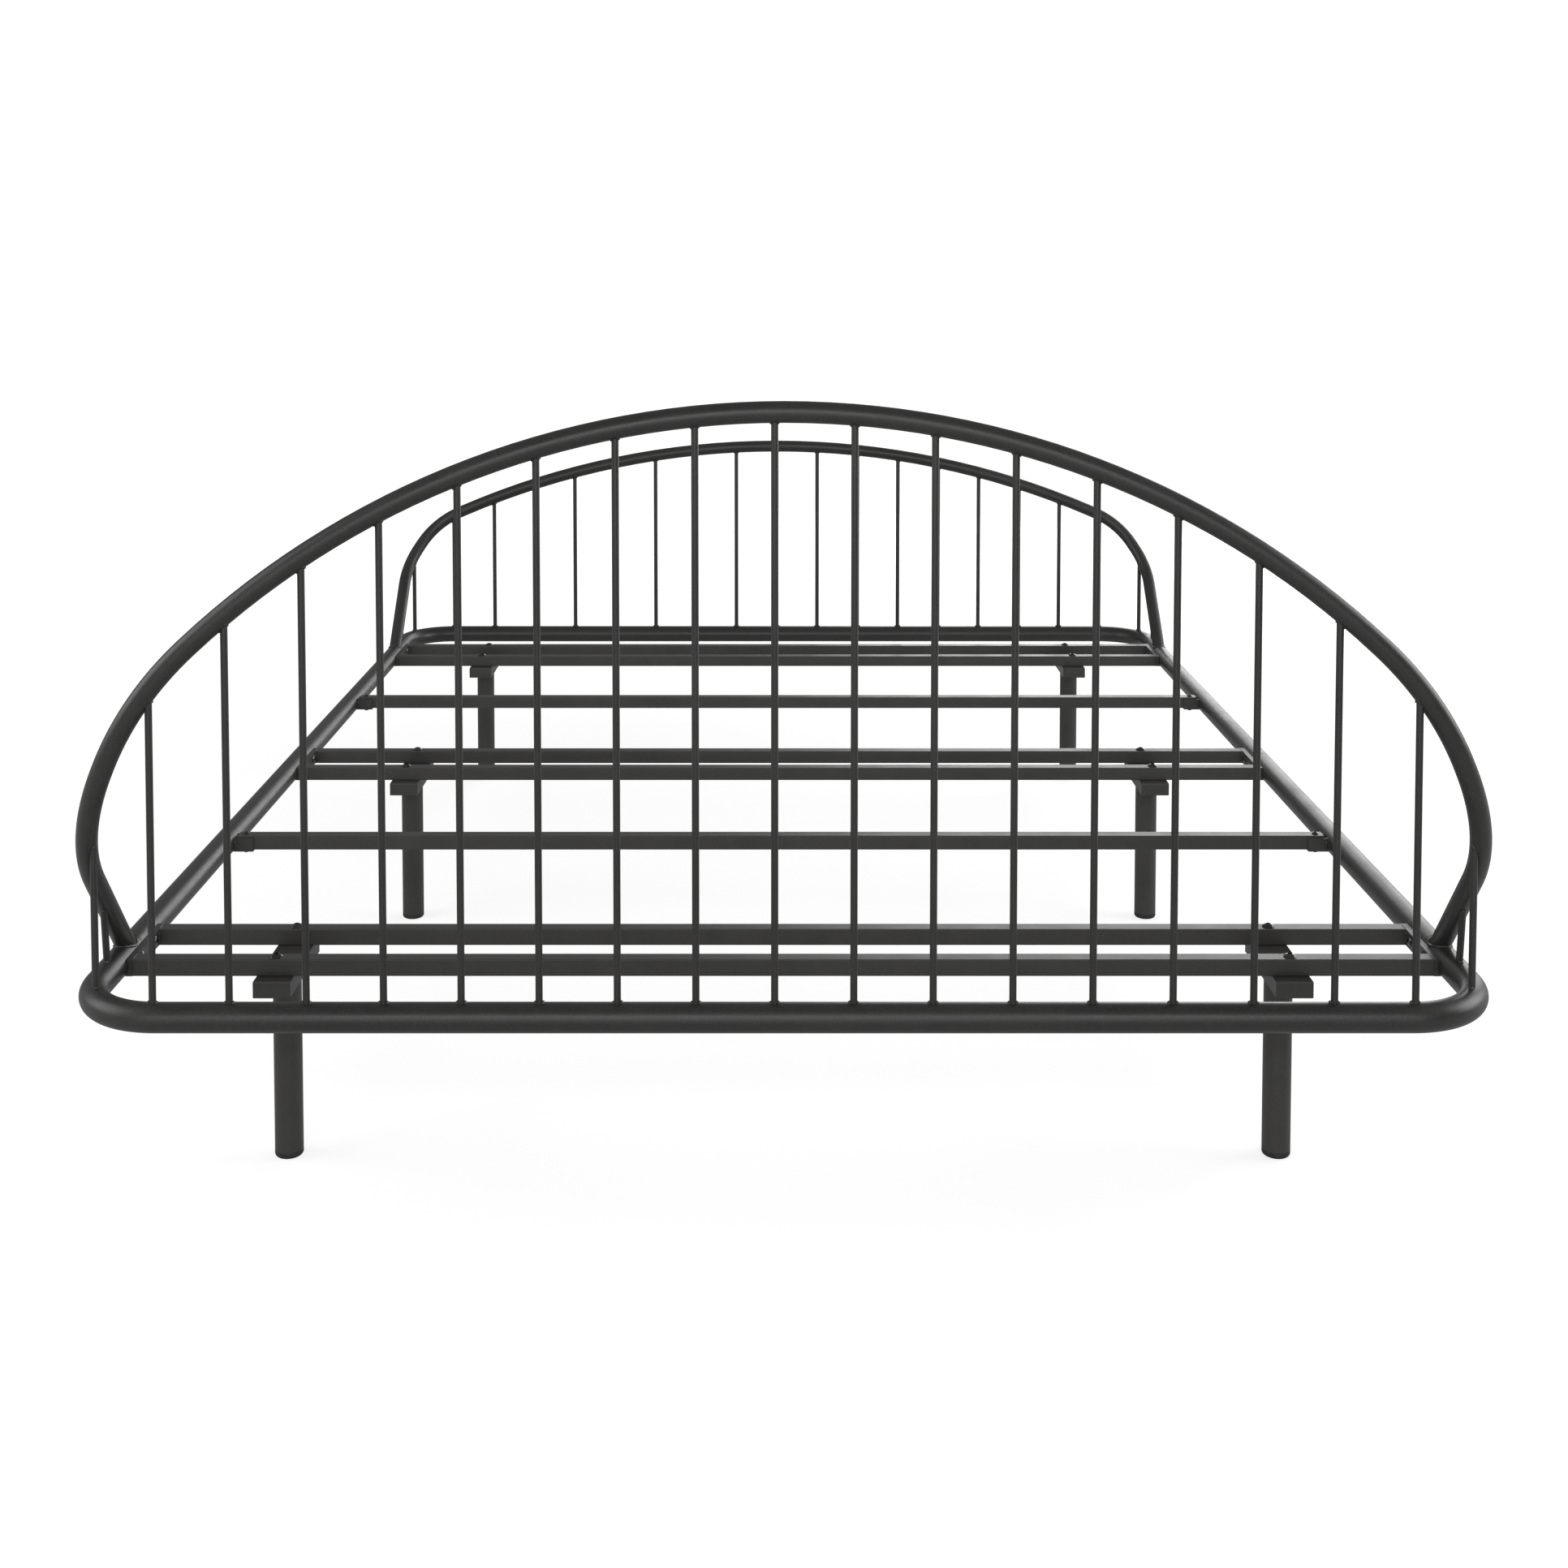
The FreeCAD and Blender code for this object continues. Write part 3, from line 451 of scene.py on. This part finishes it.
def make_drawn_steel():
    """Plain drawn tube steel with long die lines and a trace of oil."""
    material, tree, shader, place = start_material("drawn_steel")
    line = node(tree, "ShaderNodeGroup", {"Vector": place, "Stretch": (1.0, 0.02, 1.0), "Scale": 900.0,
                                          "Threshold": 0.4}, node_tree=rub_marks).outputs["Mark"]
    oil = node(tree, "ShaderNodeGroup", {"Vector": place, "Near Scale": 40.0},
               node_tree=spray_clouds).outputs["Cloud"]
    body = blend_colour(tree, oil, (0.42, 0.41, 0.40), (0.55, 0.545, 0.54))
    colour = blend_colour(tree, line, body, (0.30, 0.295, 0.29))
    bump = node(tree, "ShaderNodeBump", {"Strength": 0.5, "Distance": 0.00005, "Height": line})
    set_inputs(tree, shader, Base_Color=colour, Roughness=between(tree, oil, 0.28, 0.42), Metallic=1.0,
               Normal=bump.outputs["Normal"])
    return material


black_screw = make_black_screw()
cap_plastic = make_cap_plastic()
drawn_steel = make_drawn_steel()


# ---------------------------------------------------------------- welds

BEAD_SIDES = 10
BEAD_RIPPLE = 0.10                   # of a bead's radius, from one step to the next
BEAD_UNEVENNESS = 0.06               # of a bead's radius, at random
BEAD_BLUNTNESS = 6                   # a higher power keeps an open end full for longer
BEAD_END = 0.03                      # section left at an open end, as a share of the full one
TOUCH_HALVINGS = 18                  # of the way, to find where it meets a skin
RUN_STEPS = 8                        # of a short bead
RING_STEPS = 44                      # of a bead round the foot of an arch
LEG_RING_STEPS = 40
TACK_HALF_ANGLE = 0.7                # how far a tack weld reaches round its rod, each way, in radians
TACK_TURN = 0.12                     # its middle is up to this far round from the rod's side
TACK_SIZES = (0.88, 1.12)            # least and most, of the usual bead

# Radius of each kind of bead, and how far its middle stands off the skin that it runs round.
RAIL_TACK, RAIL_TACK_OFF = 0.0019, 0.0004
ARCH_TACK, ARCH_TACK_OFF = 0.0013, 0.0002
ARCH_FOOT_BEAD, ARCH_FOOT_BEAD_OFF = 0.0017, 0.0004


def touch(outside, inside, line, radius):
    """Where the straight way from outside to inside meets the skin of a round bar along a line."""
    near, far = 0.0, 1.0
    for _ in range(TOUCH_HALVINGS):
        half = (near + far) / 2
        if line.nearest(outside.lerp(inside, half))[1] > radius:
            near = half
        else:
            far = half
    return outside.lerp(inside, far)


def add_bead(mesh, points, radius, closed=False):
    """A run of weld metal: rippled, a little uneven, and drawn thin at open ends."""
    count = len(points)
    radii = []
    for index in range(count):
        share = index / (count - 1)
        taper = 1.0 if closed else sqrt(max(1 - (2 * share - 1) ** BEAD_BLUNTNESS, BEAD_END))
        uneven = chance.uniform(-BEAD_UNEVENNESS, BEAD_UNEVENNESS)
        ripple = 1 + BEAD_RIPPLE * cos(pi * index) + uneven
        radii.append(radius * taper * ripple)
    add_tube(mesh, points, radii, sides=BEAD_SIDES, closed=closed)


def ring_round(start, end, rod_radius, line, line_radius, angles, along):
    """Points where a rod's skin meets a bar, at angles round the rod from the way called along."""
    way = (end - start).normalized()
    first = (along - way * along.dot(way)).normalized()
    second = way.cross(first)
    found = []
    for angle in angles:
        shift = (first * cos(angle) + second * sin(angle)) * rod_radius
        found.append(touch(start + shift, end + shift, line, line_radius))
    return found


def add_tacks(mesh, start, end, standoff, line, line_radius, along, bead):
    """Two short welds on opposite sides of a spindle."""
    for facing in (0, pi):
        turn = chance.uniform(-TACK_TURN, TACK_TURN)
        angles = [
            facing + turn + TACK_HALF_ANGLE * (2 * step / RUN_STEPS - 1) for step in range(RUN_STEPS + 1)
        ]
        size = bead * chance.uniform(*TACK_SIZES)
        points = ring_round(start, end, SPINDLE_RADIUS + standoff, line, line_radius, angles, along)
        add_bead(mesh, points, size)


# ---------------------------------------------------------------- end frames

side_lines = {
    sign: Line([Vector((sign * HALF_WIDTH, end * HALF_LENGTH, RAIL_AXIS)) for end in (-1, 1)])
    for _, sign in SIDES
}


def make_rod_set(name, rods, stands_for):
    mesh = bmesh.new()
    for low, high in rods:
        add_tube(mesh, [low, high], SPINDLE_RADIUS, sides=ROD_SIDES)
    make_piece(name, mesh, rod_coat_painted_shade, [stands_for])


def make_end(which):
    """Rail, arch and spindles of one end, and the welds between them."""
    inward = ARCHES[which]["inward"]
    end_y = -inward * HALF_LENGTH
    rail, arch = rail_line(inward), arch_line(which)

    mesh = bmesh.new()
    add_tube(mesh, rail.points, RAIL_RADIUS, chamfer=SEAM_CHAMFER)
    make_piece(f"{which}_rail_tube", mesh, tube_coat_painted_shade, [f"{which}_rail"])
    mesh = bmesh.new()
    add_tube(mesh, arch.points, ARCH_RADIUS)
    make_piece(f"{which}_arch_tube", mesh, tube_coat_painted_shade, [f"{which}_arch"])

    def upright(x, y):
        return Vector((x, y, RAIL_AXIS)), arch.nearest((x, y, 0), flat=True)[0]

    pitch = (HALF_WIDTH - CORNER_RADIUS + OUTER_SPINDLE_PAST_BEND) / SPINDLES_EACH_SIDE
    drift = -middle_of(f"{which}_spindle_middle").x

    def spindle_x(number):
        return number * pitch - (1 - (number / SPINDLES_EACH_SIDE) ** 2) * drift

    corner_x = HALF_WIDTH - CORNER_RADIUS * (1 - sin(CORNER_SPINDLE_ANGLE))
    corner_y = end_y + inward * CORNER_RADIUS * (1 - cos(CORNER_SPINDLE_ANGLE))
    side_y = end_y + inward * (CORNER_RADIUS + SIDE_SPINDLE_PAST_BEND)
    lean_y = side_y - inward * SIDE_SPINDLE_LEAN
    across, lengthwise = Vector((1, 0, 0)), Vector((0, 1, 0))
    sets = {"spindle_middle": [(*upright(spindle_x(0), end_y), across)]}
    for side, sign in SIDES:
        sets[f"spindles_{side}"] = [
            (*upright(spindle_x(sign * number), end_y), across)
            for number in range(1, SPINDLES_EACH_SIDE + 1)
        ]
    sets["corner_spindles"] = []
    sets["side_spindles"] = []
    for _, sign in SIDES:
        bend_way = Vector((cos(CORNER_SPINDLE_ANGLE), sign * inward * sin(CORNER_SPINDLE_ANGLE), 0))
        low, leaning = upright(sign * corner_x, corner_y)
        sets["corner_spindles"].append((low, Vector((low.x, low.y, leaning.z)), bend_way))
        top = arch.nearest((sign * HALF_WIDTH, lean_y, 0), flat=True)[0]
        sets["side_spindles"].append((Vector((sign * HALF_WIDTH, side_y, RAIL_AXIS)), top, lengthwise))

    welds = bmesh.new()
    for group, rods in sets.items():
        make_rod_set(f"{which}_{group}_rods", [(low, high) for low, high, _ in rods], f"{which}_{group}")
        for low, high, along in rods:
            middle = (low + high) / 2
            add_tacks(welds, middle, low, RAIL_TACK_OFF, rail, RAIL_RADIUS, along, RAIL_TACK)
            add_tacks(welds, middle, high, ARCH_TACK_OFF, arch, ARCH_RADIUS, along, ARCH_TACK)
    for _, sign in SIDES:
        tail, root = (arch.points[1], arch.points[0]) if sign < 0 else (arch.points[-2], arch.points[-1])
        points = ring_round(tail, root, ARCH_RADIUS + ARCH_FOOT_BEAD_OFF, side_lines[sign], RAIL_RADIUS,
                            full_turn(RING_STEPS), lengthwise)
        add_bead(welds, points, ARCH_FOOT_BEAD, closed=True)
    make_piece(f"{which}_frame_welds", welds, weld_coat)


for which in ARCHES:
    make_end(which)

for side, sign in SIDES:
    for which, start_y, end_y in (("head", -SEAM, 0), ("foot", 0, SEAM)):
        mesh = bmesh.new()
        ends = [Vector((sign * HALF_WIDTH, y, RAIL_AXIS)) for y in (start_y, end_y)]
        add_tube(mesh, ends, RAIL_RADIUS, chamfer=SEAM_CHAMFER)
        make_piece(f"side_rail_{side}_{which}_tube", mesh, tube_coat_painted_shade,
                   [f"side_rail_{side}_{which}"])


# ---------------------------------------------------------------- welds of slats, holders and legs

CORNER_BEAD = 0.0019                 # in the corner of slat and plate
CORNER_BEAD_OFF_SLAT = 0.0003
CORNER_BEAD_OFF_PLATE = 0.0004
CORNER_BEAD_INSET = 0.0025           # its ends, from the slat's edges
FLUSH_BEAD = 0.0007                  # up the slat's outer side, where it is flush with the plate
TOP_BEAD = 0.0006
FLUSH_BEAD_INSET = 0.002
HOLDER_BEAD = 0.0016
HOLDER_BEAD_FOOT = 0.001             # its lower end, above the holder's bottom
HOLDER_BEAD_SHORTER = 0.003          # than the holder is high
LEG_BEAD = 0.0014
LEG_BEAD_DROP = 0.0003               # below the top of the leg


def straight_run(start, end):
    return [start.lerp(end, step / RUN_STEPS) for step in range(RUN_STEPS + 1)]


def add_slat_welds(mesh, slat, pair_y):
    """At both ends of a slat: a bead in the inner corner, thin ones where it is flush."""
    low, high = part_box(slat)
    inside_y, outside_y = (high.y, low.y) if high.y + low.y < 2 * pair_y else (low.y, high.y)
    corner_y = inside_y + copysign(CORNER_BEAD_OFF_SLAT, inside_y - outside_y)
    for x in (low.x, high.x):
        corner_x = x - copysign(CORNER_BEAD_OFF_PLATE, x)
        heights = (low.z + CORNER_BEAD_INSET, high.z - CORNER_BEAD_INSET)
        add_bead(mesh, straight_run(*[Vector((corner_x, corner_y, z)) for z in heights]), CORNER_BEAD)
        heights = (low.z + FLUSH_BEAD_INSET, high.z - FLUSH_BEAD_INSET)
        add_bead(mesh, straight_run(*[Vector((x, outside_y, z)) for z in heights]), FLUSH_BEAD)
        places = (low.y + FLUSH_BEAD_INSET, high.y - FLUSH_BEAD_INSET)
        add_bead(mesh, straight_run(*[Vector((x, y, high.z)) for y in places]), TOP_BEAD)


def add_holder_welds(mesh, holder):
    """Beads up both sides of a holder, where it meets the round rail."""
    low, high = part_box(holder)
    sign = 1 if low.x > 0 else -1
    bead_height = high.z - low.z - HOLDER_BEAD_SHORTER
    for y in (low.y, high.y):
        points = []
        for step in range(RUN_STEPS + 1):
            z = low.z + HOLDER_BEAD_FOOT + bead_height * step / RUN_STEPS
            reach = sqrt(RAIL_RADIUS ** 2 - (z - RAIL_AXIS) ** 2)
            points.append(Vector((sign * (HALF_WIDTH - reach), y, z)))
        add_bead(mesh, points, HOLDER_BEAD)


def add_leg_weld(mesh, leg):
    """A bead round the top of a leg, where it meets its saddle."""
    low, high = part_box(leg)
    centre = (low + high) / 2
    radius = (high.x - low.x) / 2
    z = high.z - LEG_BEAD_DROP
    ring = [
        Vector((centre.x + radius * cos(angle), centre.y + radius * sin(angle), z))
        for angle in full_turn(LEG_RING_STEPS)
    ]
    add_bead(mesh, ring, LEG_BEAD, closed=True)


slat_welds = bmesh.new()
for pair in PAIRS:
    pair_y = middle_of(f"{pair}_plate_left").y
    for name in ("first", "second"):
        add_slat_welds(slat_welds, f"{pair}_slat_{name}", pair_y)
make_piece("slat_welds", slat_welds, weld_coat)

holder_welds = bmesh.new()
for bay in BAYS:
    for side, _ in SIDES:
        add_holder_welds(holder_welds, f"{bay}_bay_holder_{side}")
make_piece("holder_welds", holder_welds, weld_coat)

leg_welds = bmesh.new()
for pair in PAIRS:
    for side, _ in SIDES:
        add_leg_weld(leg_welds, f"{pair}_leg_{side}")
make_piece("leg_welds", leg_welds, weld_coat)


# ---------------------------------------------------------------- finishes of the frame's own nodes

def finish_for(name):
    if name.endswith(("bolts", "nuts")):
        return black_screw
    if "leg_cap" in name:
        return cap_plastic
    if name == "joint_sleeves":
        return drawn_steel
    return flat_coat


for name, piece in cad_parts.items():
    piece.data.materials.clear()
    piece.data.materials.append(finish_for(name))


# ---------------------------------------------------------------- floor, light and camera

FLOOR_REACH = 40
CAMERA_SENSOR = 36                   # the sensor's width, like the lens, in millimetres
CAMERA_LENS = 44.69
CAMERA_SHIFT = (0.0095, -0.285)
CAMERA_PITCH = radians(3.0)
CAMERA_SIDE = -0.0164
CAMERA_BACK = 2.0948                 # from the head rail's axis
CAMERA_HEIGHT = 1.1107
CAMERA_REACH = 100


def make_floor():
    """Pale to the eye, brighter further off, and a plain grey to everything else."""
    mesh = bmesh.new()
    bmesh.ops.create_grid(mesh, x_segments=1, y_segments=1, size=FLOOR_REACH)
    data = bpy.data.meshes.new("floor")
    mesh.to_mesh(data)
    mesh.free()
    floor = bpy.data.objects.new("floor", data)
    scene.collection.objects.link(floor)
    material, tree, shader, place = start_material("pale_floor")
    away = node(tree, "ShaderNodeVectorMath", {0: place}, operation="LENGTH").outputs["Value"]
    glow = node(tree, "ShaderNodeMapRange", {"Value": away, "From Min": 1.4, "From Max": 4.5,
                                             "To Min": 0.72, "To Max": 0.98}).outputs[0]
    set_inputs(tree, shader, Base_Color=(0.45, 0.45, 0.45, 1.0), Roughness=1.0, Specular_IOR_Level=0.0,
               Emission_Color=(1.0, 1.0, 1.0, 1.0), Emission_Strength=glow)
    seen = node(tree, "ShaderNodeLightPath").outputs["Is Camera Ray"]
    unlit = node(tree, "ShaderNodeBsdfDiffuse", {"Color": (0.6, 0.6, 0.6, 1.0)})
    chosen = node(tree, "ShaderNodeMixShader", {0: seen, 1: unlit.outputs[0], 2: shader.outputs[0]})
    tree.links.new(chosen.outputs[0], tree.nodes["Material Output"].inputs["Surface"])
    data.materials.append(material)


def make_light(name, place, target, width, depth, power):
    """A soft rectangular lamp that faces its target."""
    data = bpy.data.lights.new(name, "AREA")
    data.shape = "RECTANGLE"
    data.size, data.size_y = width, depth
    data.energy = power
    light = bpy.data.objects.new(name, data)
    light.location = place
    light.rotation_mode = "QUATERNION"
    light.rotation_quaternion = (Vector(target) - Vector(place)).to_track_quat("-Z", "Y")
    light.visible_camera = False
    scene.collection.objects.link(light)


def make_world():
    """White to the eye, dim to everything else, so that dark tubes keep their dark edges."""
    world = bpy.data.worlds.new("studio")
    scene.world = world
    world.use_nodes = True
    tree = world.node_tree
    seen = node(tree, "ShaderNodeLightPath").outputs["Is Camera Ray"]
    dim = node(tree, "ShaderNodeBackground", {"Color": (1, 1, 1, 1), "Strength": 0.26})
    white = node(tree, "ShaderNodeBackground", {"Color": (1, 1, 1, 1), "Strength": 1.1})
    chosen = node(tree, "ShaderNodeMixShader", {0: seen, 1: dim.outputs[0], 2: white.outputs[0]})
    tree.links.new(chosen.outputs[0], tree.nodes["World Output"].inputs["Surface"])


def make_camera():
    data = bpy.data.cameras.new("camera")
    data.sensor_width = CAMERA_SENSOR
    data.lens = CAMERA_LENS
    data.shift_x, data.shift_y = CAMERA_SHIFT
    data.clip_end = CAMERA_REACH
    camera = bpy.data.objects.new("camera", data)
    camera.location = (CAMERA_SIDE, -HALF_LENGTH - CAMERA_BACK, CAMERA_HEIGHT)
    camera.rotation_euler = (radians(90) - CAMERA_PITCH, 0, 0)
    scene.collection.objects.link(camera)
    scene.camera = camera


make_floor()
make_world()
make_light("back_softbox", place=(2.0, 3.6, 1.4), target=(0.2, 0.0, 0.4), width=3.8, depth=2.2, power=80)
make_light("front_softbox", place=(0.2, -3.7, 1.8), target=(0.0, -0.6, 0.4), width=3.2, depth=0.4, power=18)
make_light("front_fill", place=(-0.3, -4.8, 1.3), target=(0.0, 0.0, 0.5), width=5.0, depth=2.4, power=48)
make_light("right_softbox", place=(3.4, -0.2, 1.5), target=(0.0, -0.4, 0.3), width=2.4, depth=1.8, power=60)
make_light("left_fill", place=(-3.0, -1.0, 1.5), target=(0.0, 0.0, 0.3), width=2.4, depth=1.8, power=35)
make_camera()
scene.view_settings.view_transform = "Standard"
scene.view_settings.look = "None"

bpy.context.view_layer.update()
